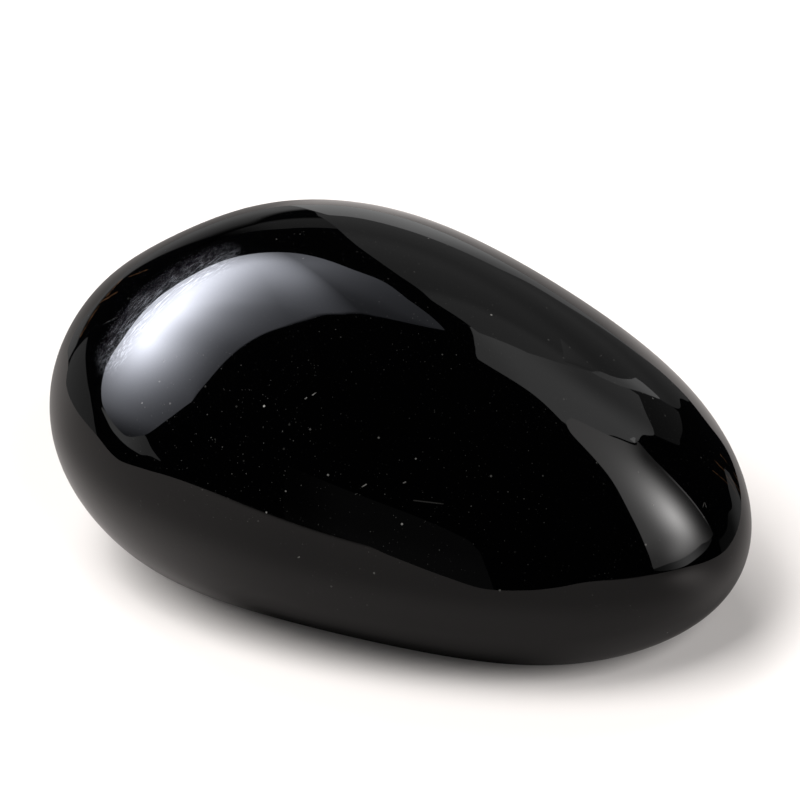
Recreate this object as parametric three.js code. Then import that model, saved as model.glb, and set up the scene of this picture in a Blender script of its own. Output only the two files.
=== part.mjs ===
// A tumbled, polished obsidian stone: a low egg with three soft flats, resting on a flat base.
// Millimetres, +Z up. +X runs along the stone, +Y across it, and the base lies on z = 0.
import * as THREE from 'three';
import { mergeVertices } from 'three/addons/utils/BufferGeometryUtils.js';

// Half sizes of the egg before its flats are worn on it
const HALF_LENGTH = 40.2;
const HALF_WIDTH = 29.2;
const HALF_HEIGHT = 21.5;

// How far the fullest section lies off the middle, as a share of each half size
const FULLEST_ALONG = 0.055;
const FULLEST_ACROSS = 0.075;
const DOME_OVER_BELLY = 0.23;

// How much narrower and lower the +X end is than the middle, and how far it drops
const WIDTH_TAPER = 0.085;
const HEIGHT_TAPER = 0.17;
const END_DROP = 3.6;

// Soft flats: the way each one faces in degrees, the depth worn off and how wide its edge fades
const WORN_FLATS = [
  { name: 'upper back, blunt end', azimuth: 155, elevation: 52, depth: 0.0, fade: 0.8 },
  { name: 'upper back, narrow end', azimuth: 61, elevation: 47, depth: 0.0, fade: 2.1 },
  { name: 'lower front', azimuth: -92, elevation: -58, depth: 1.4, fade: 1.3 },
];

// The flat that the stone rests on: the depth worn off the belly and the radius-like fade of its rim
const BASE_DEPTH = 2.5;
const BASE_FADE = 1.0;

// Fineness of the facets
const FACET_DETAIL = 14;

// The look of polished volcanic glass
const OBSIDIAN_COLOUR = 0x050506;
const OBSIDIAN_ROUGHNESS = 0.05;

// A point of the plain egg, from a unit direction
function eggPoint(u) {
  const x = HALF_LENGTH * (u.x - FULLEST_ALONG * u.x * u.x);
  const y = HALF_WIDTH * (u.y + FULLEST_ACROSS * u.y * u.y) * (1 - WIDTH_TAPER * u.x);
  const z = HALF_HEIGHT * (u.z + DOME_OVER_BELLY * u.z * u.z) * (1 - HEIGHT_TAPER * u.x);
  return new THREE.Vector3(x, y, z - END_DROP * u.x);
}

// The unit direction that a flat faces
function facing(flat) {
  const azimuth = THREE.MathUtils.degToRad(flat.azimuth);
  const elevation = THREE.MathUtils.degToRad(flat.elevation);
  const level = Math.cos(elevation);
  return new THREE.Vector3(level * Math.cos(azimuth), level * Math.sin(azimuth), Math.sin(elevation));
}

// A depth below a plane, eased so that nothing rises above the plane
function easedDepth(depth, fade) {
  const share = depth / fade;
  if (share > 30) return depth;
  return fade * Math.log1p(Math.exp(share));
}

// Wears one soft flat on the points
function wearFlat(points, flat) {
  const direction = facing(flat);
  const reach = Math.max(...points.map((point) => point.dot(direction)));
  const plane = reach - flat.depth;
  for (const point of points) {
    const depth = plane - point.dot(direction);
    point.addScaledVector(direction, depth - easedDepth(depth, flat.fade));
  }
}

// A height above the base, with everything lower pressed onto the base and a smooth rim
function restingHeight(height) {
  if (height <= -BASE_FADE) return 0;
  if (height >= BASE_FADE) return height;
  return (height + BASE_FADE) ** 2 / (4 * BASE_FADE);
}

// The stone's surface as a closed faceted ball, moved point by point
function stoneGeometry() {
  const ball = new THREE.IcosahedronGeometry(1, FACET_DETAIL);
  ball.deleteAttribute('normal');
  ball.deleteAttribute('uv');
  const geometry = mergeVertices(ball, 1e-5);
  const position = geometry.getAttribute('position');

  const points = [];
  for (let i = 0; i < position.count; i += 1) {
    points.push(eggPoint(new THREE.Vector3().fromBufferAttribute(position, i).normalize()));
  }
  for (const flat of WORN_FLATS) wearFlat(points, flat);

  const box = new THREE.Box3().setFromPoints(points);
  for (const point of points) {
    point.z = restingHeight(point.z - box.min.z - BASE_DEPTH);
  }

  // The origin is under the middle of the stone, on the surface it stands on
  const settled = new THREE.Box3().setFromPoints(points).getCenter(new THREE.Vector3());
  points.forEach((point, i) => {
    position.setXYZ(i, point.x - settled.x, point.y - settled.y, point.z);
  });
  geometry.computeVertexNormals();
  return geometry;
}

const obsidian = new THREE.MeshStandardMaterial({
  color: OBSIDIAN_COLOUR,
  roughness: OBSIDIAN_ROUGHNESS,
  metalness: 0,
});

const stone = new THREE.Mesh(stoneGeometry(), obsidian);
stone.name = 'stone';

const part = new THREE.Group();
part.add(stone);

export default part;
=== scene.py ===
import math

import bmesh
import bpy
import numpy as np
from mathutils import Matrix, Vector, noise


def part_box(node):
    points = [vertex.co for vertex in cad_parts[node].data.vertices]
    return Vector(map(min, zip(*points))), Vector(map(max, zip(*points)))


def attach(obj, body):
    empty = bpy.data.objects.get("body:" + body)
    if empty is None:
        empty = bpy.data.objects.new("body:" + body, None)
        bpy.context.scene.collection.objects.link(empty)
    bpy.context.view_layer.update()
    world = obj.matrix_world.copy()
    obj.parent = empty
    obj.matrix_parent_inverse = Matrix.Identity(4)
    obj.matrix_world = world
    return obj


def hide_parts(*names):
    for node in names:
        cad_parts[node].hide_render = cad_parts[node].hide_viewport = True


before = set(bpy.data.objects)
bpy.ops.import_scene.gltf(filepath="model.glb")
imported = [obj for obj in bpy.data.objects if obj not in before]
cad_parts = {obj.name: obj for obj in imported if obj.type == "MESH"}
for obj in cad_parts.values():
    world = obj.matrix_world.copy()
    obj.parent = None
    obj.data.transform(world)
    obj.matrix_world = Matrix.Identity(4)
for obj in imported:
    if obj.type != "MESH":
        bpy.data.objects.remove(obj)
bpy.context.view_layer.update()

# The stone's own form, in millimetres, as in the solid that it replaces
HALF_LENGTH = 40.2
HALF_WIDTH = 29.2
HALF_HEIGHT = 21.5
FULLEST_ALONG = 0.055
FULLEST_ACROSS = 0.075
DOME_OVER_BELLY = 0.23
WIDTH_TAPER = 0.085
HEIGHT_TAPER = 0.17
END_DROP = 3.6
# Each soft flat: azimuth and elevation it faces in degrees, depth worn off and edge fade
WORN_FLATS = (
    (155.0, 52.0, 0.0, 0.8),
    (61.0, 47.0, 0.0, 2.1),
    (-92.0, -58.0, 1.4, 1.3),
)
BASE_DEPTH = 2.5
BASE_FADE = 1.0
BALL_SUBDIVISIONS = 7

# Hand polish leaves the surface a little uneven: wave lengths and heights in millimetres
POLISH_WAVES = ((16.0, 0.020), (7.0, 0.004))

# Camera: bearing to the right of straight ahead, height angle, distance and aim, in degrees and metres
CAMERA_BEARING = 22.0
CAMERA_ELEVATION = 30.0
CAMERA_DISTANCE = 0.480
CAMERA_AIM = (-0.000609, 0.0, 0.020575)
PIXELS_PER_METRE = 9057.0
PHOTO_SIDE = 800
SENSOR_WIDTH = 36.0

# The studio round the stone: cards that only show as reflections, far enough to have no parallax
CARD_DISTANCE = 4.0
CARD_CENTRE = Vector((0.0, 0.0, 0.018))
MM = 0.001


def unit_ball(subdivisions):
    """An even ball of triangles, as vertex directions and faces."""
    mesh = bmesh.new()
    bmesh.ops.create_icosphere(mesh, subdivisions=subdivisions, radius=1.0)
    mesh.verts.ensure_lookup_table()
    points = np.array([v.co[:] for v in mesh.verts])
    faces = [tuple(v.index for v in f.verts) for f in mesh.faces]
    mesh.free()
    return points / np.linalg.norm(points, axis=1)[:, None], faces


def facing(azimuth, elevation):
    """The unit direction at an azimuth and an elevation in degrees."""
    a = math.radians(azimuth)
    e = math.radians(elevation)
    return np.array([math.cos(e) * math.cos(a), math.cos(e) * math.sin(a), math.sin(e)])


def polish_height(point):
    """How far hand polish raises or lowers one point of the surface, in millimetres."""
    return sum(height * noise.noise(point / length) for length, height in POLISH_WAVES)


def stone_points(directions):
    """The stone's surface in metres, for unit directions from its middle."""
    ux, uy, uz = directions.T
    x = HALF_LENGTH * (ux - FULLEST_ALONG * ux ** 2)
    y = HALF_WIDTH * (uy + FULLEST_ACROSS * uy ** 2) * (1 - WIDTH_TAPER * ux)
    z = HALF_HEIGHT * (uz + DOME_OVER_BELLY * uz ** 2) * (1 - HEIGHT_TAPER * ux)
    points = np.stack([x, y, z - END_DROP * ux], axis=1)
    for azimuth, elevation, depth, fade in WORN_FLATS:
        normal = facing(azimuth, elevation)
        reach = points @ normal
        below = reach.max() - depth - reach
        eased = fade * np.logaddexp(0.0, below / fade)
        points = points + (below - eased)[:, None] * normal
    points += directions * np.array([polish_height(Vector(p)) for p in points])[:, None]
    height = points[:, 2] - points[:, 2].min() - BASE_DEPTH
    rim = (height + BASE_FADE) ** 2 / (4 * BASE_FADE)
    pressed = np.where(height > BASE_FADE, height, rim)
    points[:, 2] = np.where(height < -BASE_FADE, 0.0, pressed)
    # The finer facets swell by a few hundredths of a millimetre, so they are fitted to the solid's box
    low, high = (np.array(corner[:]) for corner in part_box("stone"))
    share = (points - points.min(axis=0)) / np.ptp(points, axis=0)
    return low + share * (high - low)


def mesh_object(name, points, faces):
    """A new smooth mesh object in the scene."""
    mesh = bpy.data.meshes.new(name)
    mesh.from_pydata([tuple(p) for p in points], [], faces)
    mesh.polygons.foreach_set("use_smooth", [True] * len(mesh.polygons))
    mesh.update()
    piece = bpy.data.objects.new(name, mesh)
    bpy.context.scene.collection.objects.link(piece)
    return piece


class Shader:
    """A material with short ways to add nodes to it."""

    def __init__(self, name):
        self.material = bpy.data.materials.new(name)
        self.material.use_nodes = True
        self.nodes = self.material.node_tree.nodes
        self.links = self.material.node_tree.links
        self.nodes.clear()

    def put(self, socket, value):
        """Links a socket to another node's output, or sets its own value."""
        if isinstance(value, bpy.types.NodeSocket):
            self.links.new(value, socket)
        else:
            socket.default_value = value

    def node(self, kind, inputs=None, **settings):
        """A new node with its settings and its inputs by name."""
        node = self.nodes.new("ShaderNode" + kind)
        for name, value in settings.items():
            setattr(node, name, value)
        for name, value in (inputs or {}).items():
            self.put(node.inputs[name], value)
        return node

    def math(self, operation, *values):
        """The result of arithmetic on numbers or outputs."""
        node = self.node("Math", operation=operation)
        for socket, value in zip(node.inputs, values):
            self.put(socket, value)
        return node.outputs["Value"]

    def vector(self, operation, *values, scale=None):
        """The vector that comes of arithmetic on vectors."""
        node = self.node("VectorMath", operation=operation)
        for socket, value in zip(node.inputs, values):
            self.put(socket, value)
        if scale is not None:
            self.put(node.inputs["Scale"], scale)
        return node.outputs["Vector"]

    def number(self, operation, first, second=(0, 0, 0)):
        """The number that comes of arithmetic on vectors, such as a length or a dot product."""
        node = self.node("VectorMath", operation=operation)
        self.put(node.inputs[0], first)
        self.put(node.inputs[1], second)
        return node.outputs["Value"]

    def ease(self, value, low, high, start=0.0, end=1.0):
        """A smooth change from start to end while value goes from low to high."""
        node = self.node("MapRange", interpolation_type="SMOOTHSTEP")
        for name, number in (("Value", value), ("From Min", low), ("From Max", high),
                             ("To Min", start), ("To Max", end)):
            self.put(node.inputs[name], number)
        return node.outputs["Result"]

    def blend_colour(self, share, first, second):
        """A colour between two, by share."""
        node = self.node("Mix", data_type="RGBA")
        colours = [s for s in node.inputs if s.type == "RGBA"]
        self.put(node.inputs["Factor"], share)
        self.put(colours[0], first)
        self.put(colours[1], second)
        return next(s for s in node.outputs if s.type == "RGBA")

    def surface(self, shader_output):
        """Ends the material with a surface."""
        output = self.node("OutputMaterial")
        self.links.new(shader_output, output.inputs["Surface"])
        return self.material


# Dust, scratches and thin brown lines on the volcanic glass
# Each dust layer: cell size and largest grain radius in millimetres, paleness, and how rare the pale
# grains are
DUST_LAYERS = ((0.42, 0.060, 0.05, 2.5), (0.80, 0.085, 0.06, 2.0), (2.1, 0.16, 0.35, 3.0))
# Where dust has settled most: the line's two ends and its reach in millimetres, and how much more
DUSTY_LINE = ((-15.0, -25.0, 27.0), (-7.0, -25.5, 28.0))
DUSTY_REACH = 12.0
DUSTY_GAIN = 1.8
# Each family of hairlines: the way it runs, then its cell's length and width in millimetres
HAIRLINES = (
    ((0.56, 0.58, 0.59), 17.0, 0.30),
    ((0.33, 0.76, 0.56), 15.0, 0.30),
    ((0.83, 0.18, 0.53), 18.0, 0.32),
    ((0.96, -0.20, 0.20), 20.0, 0.36),
)
HAIRLINE_REACH = 0.11
# The line along which the polish is most worn, and how far the wear reaches from it, in millimetres
WORN_LINE = ((-27.2, -17.0, 30.2), (-25.0, -13.5, 34.3), (-21.3, -10.6, 37.6), (-18.5, -8.9, 39.2))
WORN_REACH = 3.8
# Single marks and lint: the two ends and the half width in millimetres, and how pale it is
MARKS = (
    ((11.0, -24.9, 24.3), (14.0, -24.1, 24.1), 0.09, 0.02),
    ((-2.45, -22.0, 32.1), (-2.35, -21.9, 32.2), 0.10, 0.10),
    ((-1.80, -21.6, 32.5), (-1.50, -21.4, 32.75), 0.08, 0.15),
    ((5.50, -25.8, 25.2), (5.90, -25.5, 25.45), 0.08, 0.15),
    ((4.95, -26.2, 24.4), (5.15, -26.1, 24.5), 0.08, 0.08),
    ((9.65, -24.4, 25.85), (9.85, -24.3, 25.95), 0.09, 0.10),
    ((-0.45, -29.1, 17.0), (-0.30, -29.05, 17.1), 0.10, 0.12),
    ((-30.4, -13.4, 30.7), (-28.2, -13.6, 32.3), 0.06, 0.03),
    ((-23.8, -17.8, 31.9), (-22.8, -16.4, 33.6), 0.09, 0.02),
    ((36.70, -6.20, 18.70), (36.70, -5.55, 19.00), 0.06, 0.07),
    ((36.75, -5.50, 18.90), (37.00, -5.70, 18.50), 0.06, 0.07),
)
# Thin brown lines near both ends of the stone: the two ends and the half width in millimetres, and how
# strong
BROWN_LINES = (
    ((-31.6, -9.2, 31.9), (-30.5, -7.5, 33.5), 0.10, 1.0),
    ((-29.6, -7.8, 34.1), (-27.1, -8.2, 35.6), 0.10, 0.4),
    ((-32.2, -9.6, 31.2), (-30.1, -9.7, 33.0), 0.12, 0.5),
    ((-33.4, -12.4, 28.2), (-32.2, -10.1, 31.0), 0.13, 0.8),
    ((35.7, 0.8, 20.5), (37.1, 1.8, 18.3), 0.11, 0.35),
    ((37.1, 1.8, 18.3), (38.2, 2.7, 15.9), 0.11, 0.5),
    ((35.6, 3.1, 19.9), (37.5, 3.9, 16.6), 0.14, 0.6),
    ((36.0, -0.9, 20.2), (37.4, 0.5, 18.0), 0.12, 0.3),
    ((36.9, 1.3, 18.6), (38.4, 1.2, 16.4), 0.11, 0.4),
)
BROWN_LINE_WANDER = 0.35
# Smears of polish haze: the length and width of one smear in millimetres, and how much they blur
HAZE_LENGTH = 2.6
HAZE_WIDTH = 0.18
HAZE_ROUGHNESS = 0.27
# How much of the haze and of the hairlines is left far from the worn line
HAZE_ELSEWHERE = 0.02
HAIRLINES_ELSEWHERE = 0.35
GLASS_IOR = 1.5
# Roughness of the clean polish, of a scratch, and the most that dust gives it
POLISH_ROUGHNESS = 0.02
SCRATCH_ROUGHNESS = 0.26
MOST_ROUGHNESS = 0.6
# How much rougher the glass is under dust, for each unit of its paleness
DUST_ROUGHENING = 2.0
BODY_BLACK = (0.00012, 0.00012, 0.00015, 1)
LINE_BROWN = (0.120, 0.060, 0.028, 1)
DUST_PALE = (0.62, 0.61, 0.58, 1)


def dust_mask(shader, place, cell, radius, strength, rarity):
    """Small grains scattered over the surface, from cells in space."""
    cells = shader.node("TexVoronoi", {"Vector": place, "Scale": 1.0 / cell}, feature="F1")
    gap = shader.math("MULTIPLY", cells.outputs["Distance"], cell)
    grain = shader.ease(gap, 0.35 * radius, radius, 1.0, 0.0)
    random = shader.node("SeparateColor", {"Color": cells.outputs["Color"]})
    brightness = shader.math("POWER", random.outputs["Red"], rarity)
    return shader.math("MULTIPLY", shader.math("MULTIPLY", grain, brightness), strength)


def stretched(shader, place, way, length, width):
    """The place in cells that are long one way and narrow across it."""
    along = Vector(way).normalized()
    across = along.orthogonal().normalized()
    third = along.cross(across)
    parts = []
    for axis, size in ((along, length), (across, width), (third, width)):
        parts.append(shader.number("DOT_PRODUCT", place, tuple(axis / size)))
    return shader.node("CombineXYZ", dict(zip("XYZ", parts))).outputs["Vector"]


def hairline_mask(shader, place, way, length, width):
    """Needle-thin scratches that run one way."""
    spot = stretched(shader, place, way, length, width)
    cells = shader.node("TexVoronoi", {"Vector": spot, "Scale": 1.0}, feature="F1")
    return shader.ease(cells.outputs["Distance"], 0.5 * HAIRLINE_REACH, HAIRLINE_REACH, 1.0, 0.0)


def mark_mask(shader, place, start, end, half_width):
    """One straight mark between two points near the surface."""
    line = Vector(end) - Vector(start)
    offset = shader.vector("SUBTRACT", place, start)
    along = shader.number("DOT_PRODUCT", offset, tuple(line / line.length_squared))
    held = shader.math("MINIMUM", shader.math("MAXIMUM", along, 0.0), 1.0)
    nearest = shader.vector("SCALE", tuple(line), scale=held)
    gap = shader.number("LENGTH", shader.vector("SUBTRACT", offset, nearest))
    return shader.ease(gap, 0.3 * half_width, half_width, 1.0, 0.0)


def all_of(shader, masks):
    """The largest of several masks at each point."""
    total = masks[0]
    for mask in masks[1:]:
        total = shader.math("MAXIMUM", total, mask)
    return total


def brown_line_mask(shader, place):
    """Thin wandering lines near both ends of the stone."""
    drift = shader.node("TexNoise", {"Vector": place, "Scale": 0.9, "Detail": 1.0}).outputs["Color"]
    centred = shader.vector("SUBTRACT", drift, (0.5, 0.5, 0.5))
    spot = shader.vector("ADD", place, shader.vector("SCALE", centred, scale=BROWN_LINE_WANDER))
    lines = []
    for start, end, half_width, strength in BROWN_LINES:
        lines.append(shader.math("MULTIPLY", mark_mask(shader, spot, start, end, half_width), strength))
    return all_of(shader, lines)


def worn_share(shader, place, rest):
    """1 where the polish is most worn, falling to rest far from there."""
    ends = zip(WORN_LINE, WORN_LINE[1:])
    near = all_of(shader, [mark_mask(shader, place, start, end, WORN_REACH) for start, end in ends])
    return shader.ease(near, 0.0, 1.0, rest, 1.0)


def haze_mask(shader, place):
    """Smears of fine polish haze, drawn out as a cloth's strokes are."""
    drawn = stretched(shader, place, HAIRLINES[0][0], HAZE_LENGTH, HAZE_WIDTH)
    smear = shader.node("TexNoise", {"Vector": drawn, "Scale": 1.0, "Detail": 3.0, "Roughness": 0.65})
    patches = shader.node("TexNoise", {"Vector": place, "Scale": 0.45, "Detail": 2.0})
    streaks = shader.ease(smear.outputs["Fac"], 0.44, 0.70, 0.10, 1.0)
    uneven = shader.ease(patches.outputs["Fac"], 0.35, 0.65, 0.65, 1.0)
    worn = worn_share(shader, place, HAZE_ELSEWHERE)
    return shader.math("MULTIPLY", shader.math("MULTIPLY", streaks, uneven), worn)


def obsidian_material():
    """Black volcanic glass with a hand polish, fine scratches and a little dust."""
    shader = Shader("polished_obsidian")
    spot = shader.node("TexCoord").outputs["Object"]
    place = shader.vector("SCALE", spot, scale=1.0 / MM)
    clusters = shader.node("TexNoise", {"Vector": place, "Scale": 0.09, "Detail": 2.0})
    often = shader.ease(clusters.outputs["Fac"], 0.35, 0.65, 0.25, 1.0)
    grains = all_of(shader, [dust_mask(shader, place, *layer) for layer in DUST_LAYERS])
    settled = shader.math("MULTIPLY", mark_mask(shader, place, *DUSTY_LINE, DUSTY_REACH), DUSTY_GAIN)
    dust = shader.math("MULTIPLY", grains, shader.math("ADD", often, settled))
    cuts = [mark_mask(shader, place, start, end, half) for start, end, half, _ in MARKS]
    lint = all_of(shader, [shader.math("MULTIPLY", cut, mark[3]) for cut, mark in zip(cuts, MARKS)])
    needles = all_of(shader, [hairline_mask(shader, place, *family) for family in HAIRLINES])
    hairlines = shader.math("MULTIPLY", needles, worn_share(shader, place, HAIRLINES_ELSEWHERE))
    banded = shader.blend_colour(brown_line_mask(shader, place), BODY_BLACK, LINE_BROWN)
    colour = shader.blend_colour(shader.math("MAXIMUM", dust, lint), banded, DUST_PALE)
    scratches = shader.math("MAXIMUM", hairlines, all_of(shader, cuts))
    scratched = shader.math("MULTIPLY", scratches, SCRATCH_ROUGHNESS)
    gritty = shader.math("MAXIMUM", scratched, shader.math("MULTIPLY", dust, DUST_ROUGHENING))
    rough = shader.math("MINIMUM", shader.math("MAXIMUM", gritty, POLISH_ROUGHNESS), MOST_ROUGHNESS)
    glass = shader.node("BsdfPrincipled", {
        "Base Color": colour,
        "Roughness": rough,
        "IOR": GLASS_IOR,
        "Coat Weight": haze_mask(shader, place),
        "Coat Roughness": HAZE_ROUGHNESS,
        "Coat IOR": GLASS_IOR,
    })
    return shader.surface(glass.outputs["BSDF"])


directions, faces = unit_ball(BALL_SUBDIVISIONS)
stone = mesh_object("polished_stone", stone_points(directions), faces)
stone.data.materials.append(obsidian_material())
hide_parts("stone")
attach(stone, "root")


# Studio cards
def card_direction(bearing, elevation):
    """Unit directions from bearings right of the camera and elevations, in degrees."""
    turn = np.radians(bearing + CAMERA_BEARING)
    rise = np.radians(elevation)
    return np.stack([np.sin(turn) * np.cos(rise), -np.cos(turn) * np.cos(rise), np.sin(rise)], axis=-1)


def smooth_step(value, low, high):
    """0 below low, 1 above high, and a smooth rise between."""
    share = np.clip((value - low) / (high - low), 0.0, 1.0)
    return share * share * (3 - 2 * share)


def curve_through(points, at):
    """Heights of a smooth curve through points, which never overshoots them."""
    x, y = np.array(points, dtype=float).T
    step = np.diff(x)
    slope = np.diff(y) / step
    tangent = np.zeros(len(x))
    tangent[0] = slope[0]
    tangent[-1] = slope[-1]
    same_way = slope[:-1] * slope[1:] > 0
    both = np.where(same_way, slope[:-1] + slope[1:], 1.0)
    tangent[1:-1] = np.where(same_way, 2 * slope[:-1] * slope[1:] / both, 0.0)
    i = np.clip(np.searchsorted(x, at, side="right") - 1, 0, len(step) - 1)
    t = np.clip((at - x[i]) / step[i], 0.0, 1.0)
    rise = (3 - 2 * t) * t * t
    bend = step[i] * t * (1 - t) * ((1 - t) * tangent[i] - t * tangent[i + 1])
    return y[i] * (1 - rise) + y[i + 1] * rise + bend


def angle_from(bearing, elevation, spot):
    """The angle in degrees between directions and one spot."""
    middle = card_direction(np.array(spot[0]), np.array(spot[1]))
    cosine = card_direction(bearing, elevation) @ middle
    return np.degrees(np.arccos(np.clip(cosine, -1.0, 1.0)))


def angle_from_line(bearing, elevation, spots):
    """The smallest angle in degrees to a line of spots."""
    nearest = None
    for (b0, e0), (b1, e1) in zip(spots, spots[1:]):
        for share in np.linspace(0.0, 1.0, 9):
            spot = (b0 + (b1 - b0) * share, e0 + (e1 - e0) * share)
            angle = angle_from(bearing, elevation, spot)
            nearest = angle if nearest is None else np.minimum(nearest, angle)
    return nearest


def grid_faces(columns, rows):
    """The faces of a grid of points, column by column."""
    quads = []
    for i in range(columns - 1):
        for j in range(rows - 1):
            quads.append((i * rows + j, (i + 1) * rows + j, (i + 1) * rows + j + 1, i * rows + j + 1))
    return quads


def only_reflected(piece):
    """Hides a stage piece from everything but reflections."""
    piece.visible_camera = False
    piece.visible_diffuse = False
    piece.visible_transmission = False
    piece.visible_shadow = False


def card_material(name, colour):
    """Light whose strength is the card's glow attribute."""
    shader = Shader(name)
    glow = shader.node("Attribute", attribute_name="glow")
    light = shader.node("Emission", {"Color": (*colour, 1), "Strength": glow.outputs["Fac"]})
    shader.material.cycles.emission_sampling = "NONE"
    return shader.surface(light.outputs["Emission"])


def studio_card(name, lower, upper, level, colour=(1, 1, 1), layer=0, step=0.5, rows=64):
    """A card on the dome between a lower and an upper edge, each given as (bearing, elevation) points.
    level is its light, or a function that gives it for bearings, elevations and the share of the way up."""
    first, last = lower[0][0], lower[-1][0]
    count = int((last - first) / step) + 2
    bearing = np.linspace(first, last, count)
    share = np.linspace(0.0, 1.0, rows)
    low = curve_through(lower, bearing)
    high = curve_through(upper, bearing)
    grid_b = np.repeat(bearing[:, None], rows, axis=1)
    grid_e = low[:, None] + (high - low)[:, None] * share[None, :]
    grid_s = np.repeat(share[None, :], count, axis=0)
    points = card_direction(grid_b, grid_e) * (CARD_DISTANCE - 0.05 * layer) + np.array(CARD_CENTRE[:])
    card = mesh_object(name, points.reshape(-1, 3), grid_faces(count, rows))
    glow = card.data.attributes.new("glow", "FLOAT", "POINT")
    light = level(grid_b, grid_e, grid_s) if callable(level) else np.full(grid_b.shape, level)
    glow.data.foreach_set("value", np.maximum(light, 0.0).ravel())
    card.data.materials.append(card_material(name + "_light", colour))
    only_reflected(card)
    return card


# The big soft light on the left, which reaches over the top and behind
KEY_COLOUR = (0.95, 0.98, 1.1)
KEY_LOWER = (
    (-233, 70.5), (-205, 66.5), (-190, 60.5), (-180, 57.5), (-163, 45.5), (-150, 38.8), (-136, 33.8),
    (-122, 24.2), (-116, 19), (-110, 9.2), (-105, 4), (-100, 1), (-88, -0.5), (-80, 5), (-74.5, 17),
    (-72, 26),
)
KEY_UPPER = (
    (-233, 71), (-230, 74.5), (-220, 78.5), (-204, 81), (-180, 82.2), (-133, 80.8), (-110, 76.5), (-100, 74),
    (-90, 68), (-84.5, 60), (-80, 52.2), (-76.3, 44.4), (-73.5, 36), (-72, 27),
)
KEY_RIDGE = ((-106.5, 28), (-116, 36), (-129, 40.5), (-150, 46.5), (-163, 54))
KEY_GLOW = (-102, 62)
KEY_PEAK = 23.0
KEY_BASE = 0.32
KEY_GLOW_LIGHT = 0.6
# How many degrees from the ridge and from the glow their light falls off in
KEY_FALL = 11.8
KEY_GLOW_FALL = 14.0


def key_level(bearing, elevation, share):
    """Brightest along its ridge, dimmer behind, towards its inner edge and at its low end."""
    angle = angle_from_line(bearing, elevation, KEY_RIDGE)
    behind = np.clip(1.0 + (bearing + 117.0) / 48.0, 0.06, 1.0)
    light = KEY_PEAK * behind * np.exp(-((angle / KEY_FALL) ** 1.4)) + KEY_BASE
    glow = angle_from(bearing, elevation, KEY_GLOW) / KEY_GLOW_FALL
    light += KEY_GLOW_LIGHT * np.exp(-(glow ** 2))
    dimmer = 1.0 - 0.3 * smooth_step(share, 0.45, 0.90)
    low_end = 0.10 + 0.90 * smooth_step(elevation - 0.35 * (bearing + 88.0), -4.0, 9.0)
    return light * dimmer * low_end * (1.0 - smooth_step(share, 0.97, 1.0))


studio_card("key_card", KEY_LOWER, KEY_UPPER, key_level, colour=KEY_COLOUR, layer=2)

# The grey foot under the big light
FOOT_LOWER = ((-101, 0), (-97, -1.2), (-92, -2.8), (-86, -3.4), (-80, -2.9), (-76, -0.8), (-72.6, -0.3))
FOOT_UPPER = ((-101, 0.5), (-88, 1), (-80, 5), (-76, 2), (-72.6, 0))


def foot_level(bearing, elevation, share):
    """Even, and dimmer at the end nearest the camera."""
    return 0.60 - 0.25 * smooth_step(bearing, -88.0, -77.0)


studio_card("foot_card", FOOT_LOWER, FOOT_UPPER, foot_level, layer=1)

# The upright soft light on the right, and the dim sill under it
RIGHT_COLOUR = (1.02, 1.0, 0.99)
RIGHT_LOWER = (
    (58, 2.2), (66, 2.6), (74, 2), (90, 2), (95, 0.6), (99, -0.2), (101.3, -0.2), (102, 0.5), (102.6, 22),
    (103.6, 29), (106.5, 33),
)
RIGHT_UPPER = (
    (58, 4), (60.5, 16), (65, 28), (72.5, 38.5), (80.5, 50), (85, 51), (90.5, 50), (96.5, 41.6), (99, 38.6),
    (104, 33.4), (106.5, 33.1),
)
SILL_LOWER = ((58, 1.2), (62, -0.6), (66, -1.6), (70, -2.4), (76, -2.9), (84, -2.5), (93, -2.2), (99, -1.2))
SILL_UPPER = ((58, 2.4), (66, 2.8), (74, 2.2), (90, 2.2), (95, 0.8), (99, 0))
RIGHT_SPOT = (85.2, 19)
RIGHT_SPOT_LIGHT = 7.1
RIGHT_LOBE = (76, 7)
RIGHT_LOBE_LIGHT = 1.0


def right_level(bearing, elevation, share):
    """A bright spot with a lobe below it, a shaded far side and a thin bright far edge."""
    across = (bearing - RIGHT_SPOT[0]) * np.cos(np.radians(elevation))
    across = np.where(across < 0, across / 8.0, across / 6.2)
    gap = np.hypot(across, (elevation - RIGHT_SPOT[1]) / 10.5)
    lobe = np.hypot((bearing - RIGHT_LOBE[0]) / 8.0, (elevation - RIGHT_LOBE[1]) / 6.0)
    light = 0.44 + 0.44 * smooth_step(elevation, 5.0, 20.0)
    light += RIGHT_SPOT_LIGHT * np.exp(-(gap ** 1.7)) + RIGHT_LOBE_LIGHT * np.exp(-(lobe ** 2))
    shade = 0.8 * smooth_step(bearing, 91.0, 102.0) * (1 - smooth_step(elevation, 31.0, 38.0))
    edge = 0.7 * smooth_step(bearing, 101.3, 101.9) * (1 - smooth_step(elevation, 18.0, 28.0))
    return light * (1.0 - shade) + edge * smooth_step(elevation, 3.0, 10.0)


def sill_level(bearing, elevation, share):
    """Brightest under the right light's spot."""
    return 0.07 + 0.75 * np.exp(-(((bearing - 79.0) / 10.0) ** 2))


studio_card("right_card", RIGHT_LOWER, RIGHT_UPPER, right_level, colour=RIGHT_COLOUR, layer=2, step=0.2)
studio_card("sill_card", SILL_LOWER, SILL_UPPER, sill_level, layer=0)

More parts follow.
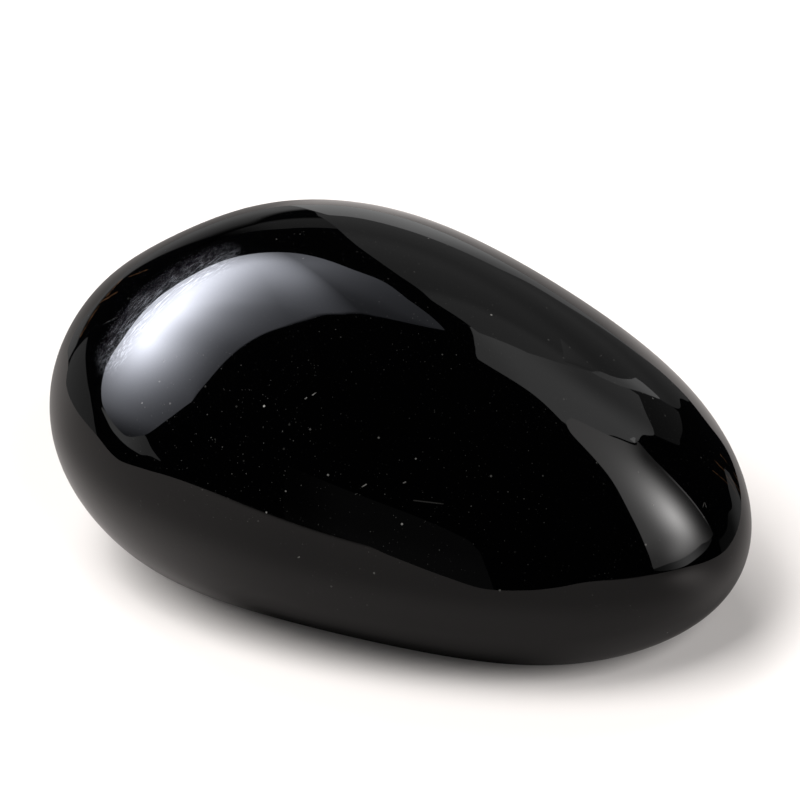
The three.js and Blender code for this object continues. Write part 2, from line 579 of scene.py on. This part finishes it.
# The pale wall between the right light and the panel behind, that panel and the bright sliver on its edge
WALL_LOWER = (
    (84, 50), (90.5, 49), (96, 42), (99, 39.6), (104, 34), (111.5, 30.5), (117.5, 25.6), (125, 24.2),
    (132, 21.5),
)
WALL_UPPER = ((84, 52), (90.5, 57.5), (96.5, 66), (101, 68.5), (115, 66.5), (132, 61.5))
PANEL_LOWER = (
    (123, 51), (124.7, 43.5), (128.7, 34.5), (134, 24), (141, 6), (149, -2), (155, -9), (164, -9), (182, 0),
)
PANEL_UPPER = (
    (123, 51.5), (126, 57.5), (129, 61), (142, 61), (149, 60.5), (156.5, 57.5), (165, 53.5), (171.5, 48),
    (176.5, 40.5), (179, 32.5), (182, 12.5),
)
SLIVER_LOWER = (
    (128.7, 32), (129.6, 28.6), (132, 23.6), (134.5, 19.2), (137, 14.5), (139, 11.5), (140.6, 13.6),
)
SLIVER_UPPER = ((128.7, 34), (131.7, 30), (133, 26.3), (137.3, 19.3), (140.6, 15))
SHARD_LOWER = ((127, 40.5), (131.7, 30.2), (135.9, 31.2), (139, 32))
SHARD_UPPER = ((127, 41.2), (131.7, 38), (135.9, 35), (139, 32.5))
TIP_LOWER = ((104, 33.9), (107, 33.2))
TIP_UPPER = ((104, 35.2), (107, 33.6))
TIP_LIGHT = 1.6
GAP_LOWER = ((117, 25.5), (119.5, 21.2), (123, 16.4), (125, 15.5), (132, 11), (140, 6.3))
GAP_UPPER = ((117, 26.5), (125, 30), (132, 30), (136, 24), (140, 14))
GAP_LIGHT = 0.065
APRON_LOWER = ((104, -16), (140, -20))
APRON_UPPER = ((104, -5), (114, -6.5), (120, -5), (127, -7.5), (132, -5.5), (137, -5.5), (140, -9))


def wall_level(bearing, elevation, share):
    """Pale, dimmer at its low far end and along its top."""
    far = smooth_step(bearing, 107.0, 123.0) * (1 - smooth_step(elevation, 36.0, 56.0))
    return 0.74 - 0.40 * far - 0.15 * smooth_step(elevation, 57.0, 66.0)


def panel_level(bearing, elevation, share):
    """Grey, paler higher up and above a slanted crease."""
    crease = 36.0 + 0.7 * (bearing - 131.0)
    light = 0.10 + 0.055 * smooth_step(elevation, 4.0, 14.0) + 0.075 * smooth_step(elevation, 25.0, 36.0)
    return light + 0.11 * smooth_step(elevation - crease, 0.0, 8.0)


def sliver_level(bearing, elevation, share):
    """Brighter towards its far end."""
    return 0.50 + 0.22 * smooth_step(bearing, 132.0, 138.0)


def shard_level(bearing, elevation, share):
    """A little brighter towards its top."""
    return 0.20 + 0.12 * share


def apron_level(bearing, elevation, share):
    """Nearly dark, and paler towards its far end."""
    return 0.035 + 0.11 * smooth_step(bearing, 118.0, 132.0)


studio_card("tip_card", TIP_LOWER, TIP_UPPER, TIP_LIGHT, layer=3)
studio_card("wall_card", WALL_LOWER, WALL_UPPER, wall_level, layer=1)
studio_card("panel_card", PANEL_LOWER, PANEL_UPPER, panel_level, layer=2)
studio_card("sliver_card", SLIVER_LOWER, SLIVER_UPPER, sliver_level, layer=3)
studio_card("shard_card", SHARD_LOWER, SHARD_UPPER, shard_level, layer=3)
studio_card("gap_card", GAP_LOWER, GAP_UPPER, GAP_LIGHT, layer=0)
studio_card("apron_card", APRON_LOWER, APRON_UPPER, apron_level, layer=0)

# The dim band over the top of the panel, the grey patch low on the left and the dark front of the room
BAND_LOWER = ((-188, 13), (-178, 14), (-170, 15), (-163, 17), (-156, 19))
BAND_UPPER = ((-188, 17), (-179, 26), (-172, 26), (-164, 23), (-156, 20))
PATCH_LOWER = ((-136, -9), (-133, -14), (-111, -14), (-99, -12))
PATCH_UPPER = ((-136, -7), (-133, 0.5), (-122, 0.5), (-111, -1), (-105, -4), (-99, -11))
PATCH_LIGHT = 0.18
FRONT_LOWER = ((-40, -3), (2, -12))
FRONT_UPPER = ((-40, 21.5), (-14, 19), (0, 14), (2, 9))
LEFT_LOWER = ((-178.5, -14), (-165, -14), (-150, -14), (-138, -12))
LEFT_UPPER = (
    (-178.5, 4.5), (-175, 7), (-172, 11), (-168, 17), (-162, 17.5), (-158, 13), (-156, 8), (-154, 3.5),
    (-150, 0), (-138, -6),
)


def band_level(bearing, elevation, share):
    """Faint, fading in from below and out to one side."""
    return 0.09 * smooth_step(share, 0.0, 0.25) * (1 - smooth_step(bearing, -172.0, -160.0))


def front_level(bearing, elevation, share):
    """Nearly black, and a little less so on the right and low down."""
    right = 0.028 * smooth_step(bearing, -38.0, -26.0)
    low = 0.010 * (1 - smooth_step(elevation, 0.0, 8.0))
    return 0.010 + right + low


def left_level(bearing, elevation, share):
    """Fading out upwards."""
    fade = 1 - 0.8 * np.clip(elevation / 16.0, 0.0, 1.0)
    return 0.26 * fade * (1 - smooth_step(share, 0.80, 1.0))


studio_card("band_card", BAND_LOWER, BAND_UPPER, band_level, layer=0)
studio_card("patch_card", PATCH_LOWER, PATCH_UPPER, PATCH_LIGHT, layer=1)
studio_card("front_card", FRONT_LOWER, FRONT_UPPER, front_level, layer=0)
studio_card("left_card", LEFT_LOWER, LEFT_UPPER, left_level, layer=0)

# The white backdrop behind
BACK_LOWER = ((157, -17), (184.5, -17))
BACK_UPPER = (
    (157, -4), (158.5, -1), (159.7, 2.2), (161.8, 4), (163, 8.3), (165.8, 10), (169, 11), (173, 11.4),
    (177.8, 10.8), (180.5, 11.2), (181.6, 8), (182.5, 3.5), (183, -1), (184.5, -12),
)


def back_level(bearing, elevation, share):
    """Brighter towards the middle of the backdrop."""
    return 0.29 + 0.25 * smooth_step(bearing, 163.0, 172.0)


studio_card("back_card", BACK_LOWER, BACK_UPPER, back_level, layer=3)

# The floor that the camera sees: white, with the stone's shadow on it
FLOOR_HALF = 3.0
FLOOR_DROP = 0.05 * MM
FLOOR_ALBEDO = (0.81, 0.78, 0.765, 1)
# Stray light of the bright room, which reaches even the deepest shadow
STRAY_LIGHT = 0.025
floor = mesh_object(
    "floor",
    [(-FLOOR_HALF, -FLOOR_HALF, -FLOOR_DROP), (FLOOR_HALF, -FLOOR_HALF, -FLOOR_DROP),
     (FLOOR_HALF, FLOOR_HALF, -FLOOR_DROP), (-FLOOR_HALF, FLOOR_HALF, -FLOOR_DROP)],
    [(0, 1, 2, 3)],
)
paper = Shader("white_paper")
paper_diffuse = paper.node("BsdfDiffuse", {"Color": FLOOR_ALBEDO})
paper_stray = paper.node("Emission", {"Color": FLOOR_ALBEDO, "Strength": STRAY_LIGHT})
paper_sum = paper.node("AddShader")
paper.put(paper_sum.inputs[0], paper_diffuse.outputs["BSDF"])
paper.put(paper_sum.inputs[1], paper_stray.outputs["Emission"])
floor.data.materials.append(paper.surface(paper_sum.outputs["Shader"]))
floor.visible_glossy = False
floor.visible_diffuse = False

# The same floor as the stone mirrors it: bearing right of the camera and reach in millimetres
TABLE_REACH = (
    (-180, 450), (-157, 450), (-150, 420), (-146, 350), (-140, 170), (-133, 135), (-127, 160), (-120, 135),
    (-96, 160), (-84, 137), (-75, 192), (-65, 407), (-50, 1400), (-38, 3000), (-25, 1670), (-19, 411),
    (-5.6, 149), (5, 106), (14, 126), (21, 183), (31, 663), (45, 3000), (56, 824), (69, 304), (81, 125),
    (90, 90), (107, 78), (116, 74), (126, 78), (131, 89), (139, 132), (145, 160), (150, 215), (153, 300),
    (156, 430), (162, 450), (180, 450),
)
# How much light is painted into the mirrored floor's colour, by bearing right of the camera: brightest
# behind the stone
TABLE_PAINTED_LIGHT = (
    (-180, 0.62), (-177, 0.60), (-174.5, 0.46), (-172, 0.28), (-166, 0.22), (-157, 0.25), (-146, 0.22),
    (-138, 0.25), (-130, 0.36), (-110, 0.47), (-95, 0.48), (-60, 0.46), (-30, 0.38), (0, 0.36), (125, 0.36),
    (134, 0.46),
    (146, 0.48), (152, 0.43), (158, 0.32), (165, 0.32), (168, 0.38), (174, 0.50), (177, 0.61), (180, 0.62),
)
TABLE_TINT = (1.06, 1.0, 0.98)
# A painted pool of light on it, where the right light spills: its bearing and reach, and how much brighter
TABLE_LIGHT_POOL = (67, 105)
TABLE_LIGHT_POOL_LEVEL = 0.48
TABLE_ROWS = 48
TABLE_START = 12.0
# The light that falls on the floor, as the brightness of a perfectly white sheet
FLOOR_LIGHT = 1.6


def footing(bearing):
    """The plan radius of the stone in millimetres, at bearings right of the camera."""
    turn = np.radians(bearing + CAMERA_BEARING)
    return 1.0 / np.hypot(np.sin(turn) / HALF_LENGTH, np.cos(turn) / HALF_WIDTH)


def table_level(bearing, reach):
    """How bright the mirrored floor is painted, at bearings in degrees and distances in millimetres: painted
    light, a painted pool of light and painted shadow by the stone.
    """
    # Painted pool of light where the right light spills onto the floor
    spot_bearing, spot_reach = TABLE_LIGHT_POOL
    aside = (bearing - spot_bearing) / 7.5
    along = np.log(reach / spot_reach) / 0.58
    spot = TABLE_LIGHT_POOL_LEVEL * np.exp(-(aside ** 2) - along ** 2)
    # Painted shadow: the floor's colour darkens towards and under the stone's footing, deepest in front and
    # fading out by the sides
    least = 0.10 + 0.90 * smooth_step(np.abs(bearing + 10), 30.0, 62.0)
    clear = smooth_step(reach / footing(bearing), 0.80, 1.18)
    # Painted light: except behind the stone, the floor about 44 mm out is brightened, more so on the left,
    # and the floor nearer in and further out is dimmed
    close = (0.30 + 0.25 * smooth_step(-bearing, 40.0, 75.0)) * np.exp(-((reach - 44) / 18) ** 2)
    front = 1 - smooth_step(np.abs(bearing), 100.0, 125.0)
    tone = curve_through(TABLE_PAINTED_LIGHT, bearing) * (1 + front * (close - 0.22))
    return (tone + spot) * (least + (1 - least) * clear)


bearing = np.linspace(-180.0, 180.0, 361)
reach = np.exp(curve_through([(b, math.log(r)) for b, r in TABLE_REACH], bearing))
share = np.linspace(0.0, 1.0, TABLE_ROWS)
table_b = np.repeat(bearing[:, None], TABLE_ROWS, axis=1)
table_r = TABLE_START * (reach[:, None] / TABLE_START) ** share[None, :]
table_points = card_direction(table_b, np.zeros_like(table_b)) * (table_r * MM)[..., None]
table_points[..., 2] = -0.5 * FLOOR_DROP
table = mesh_object("mirrored_floor", table_points.reshape(-1, 3), grid_faces(len(bearing), TABLE_ROWS))
# The mirrored floor's colour carries the painted light, the painted pool of light and the painted shadow of
# table_level
tone = table.data.attributes.new("tone", "FLOAT", "POINT")
tone.data.foreach_set("value", (table_level(table_b, table_r) / FLOOR_LIGHT).ravel())
table_paper = Shader("mirrored_paper")
table_tone = table_paper.node("Attribute", attribute_name="tone")
table_colour = table_paper.vector("SCALE", TABLE_TINT, scale=table_tone.outputs["Fac"])
table_diffuse = table_paper.node("BsdfDiffuse", {"Color": table_colour})
table.data.materials.append(table_paper.surface(table_diffuse.outputs["BSDF"]))
only_reflected(table)


# Each soft light: bearing right of the camera and elevation in degrees, side in metres and power in watts
SOFT_LIGHTS = (
    ("key_light", -54.0, 53.0, 0.65, 11.8),
    ("fill_light", 32.0, 39.0, 0.5, 7.0),
    ("back_light", -152.0, 54.0, 0.65, 5.6),
)
LIGHT_DISTANCE = 1.0
LIGHT_COLOUR = (1.0, 0.99, 0.98)


def soft_light(name, bearing, elevation, side, power):
    """A square area light aimed at the stone, unseen in its reflections."""
    data = bpy.data.lights.new(name, "AREA")
    data.shape = "SQUARE"
    data.size = side
    data.energy = power
    data.color = LIGHT_COLOUR
    light = bpy.data.objects.new(name, data)
    toward = Vector(card_direction(np.array(bearing), np.array(elevation)))
    light.location = CARD_CENTRE + toward * LIGHT_DISTANCE
    light.rotation_euler = toward.to_track_quat("Z", "Y").to_euler()
    light.visible_glossy = False
    light.visible_camera = False
    bpy.context.scene.collection.objects.link(light)
    return light


for settings in SOFT_LIGHTS:
    soft_light(*settings)

# The world: white where the camera looks past the floor, and dark in reflections
SKY_TINT = (0.9, 0.95, 1.1, 1)
SKY_IN_REFLECTIONS = 0.004
world = bpy.data.worlds.new("studio")
bpy.context.scene.world = world
world.use_nodes = True
sky = world.node_tree.nodes
sky.clear()
sky_out = sky.new("ShaderNodeOutputWorld")
seen = sky.new("ShaderNodeBackground")
seen.inputs["Color"].default_value = (1, 1, 1, 1)
seen.inputs["Strength"].default_value = 1.0
mirrored = sky.new("ShaderNodeBackground")
mirrored.inputs["Color"].default_value = SKY_TINT
mirrored.inputs["Strength"].default_value = SKY_IN_REFLECTIONS
path = sky.new("ShaderNodeLightPath")
choice = sky.new("ShaderNodeMixShader")
join = world.node_tree.links.new
join(path.outputs["Is Camera Ray"], choice.inputs["Fac"])
join(mirrored.outputs["Background"], choice.inputs[1])
join(seen.outputs["Background"], choice.inputs[2])
join(choice.outputs["Shader"], sky_out.inputs["Surface"])

# The camera
camera_data = bpy.data.cameras.new("camera")
camera_data.sensor_width = SENSOR_WIDTH
camera_data.lens = PIXELS_PER_METRE * CAMERA_DISTANCE * SENSOR_WIDTH / PHOTO_SIDE
camera_data.clip_start = 0.01
camera = bpy.data.objects.new("camera", camera_data)
back = Vector(card_direction(np.array(0.0), np.array(CAMERA_ELEVATION)))
camera.location = Vector(CAMERA_AIM) + back * CAMERA_DISTANCE
camera.rotation_euler = back.to_track_quat("Z", "Y").to_euler()
bpy.context.scene.collection.objects.link(camera)
bpy.context.scene.camera = camera
bpy.context.scene.view_settings.view_transform = "Standard"

bpy.context.view_layer.update()
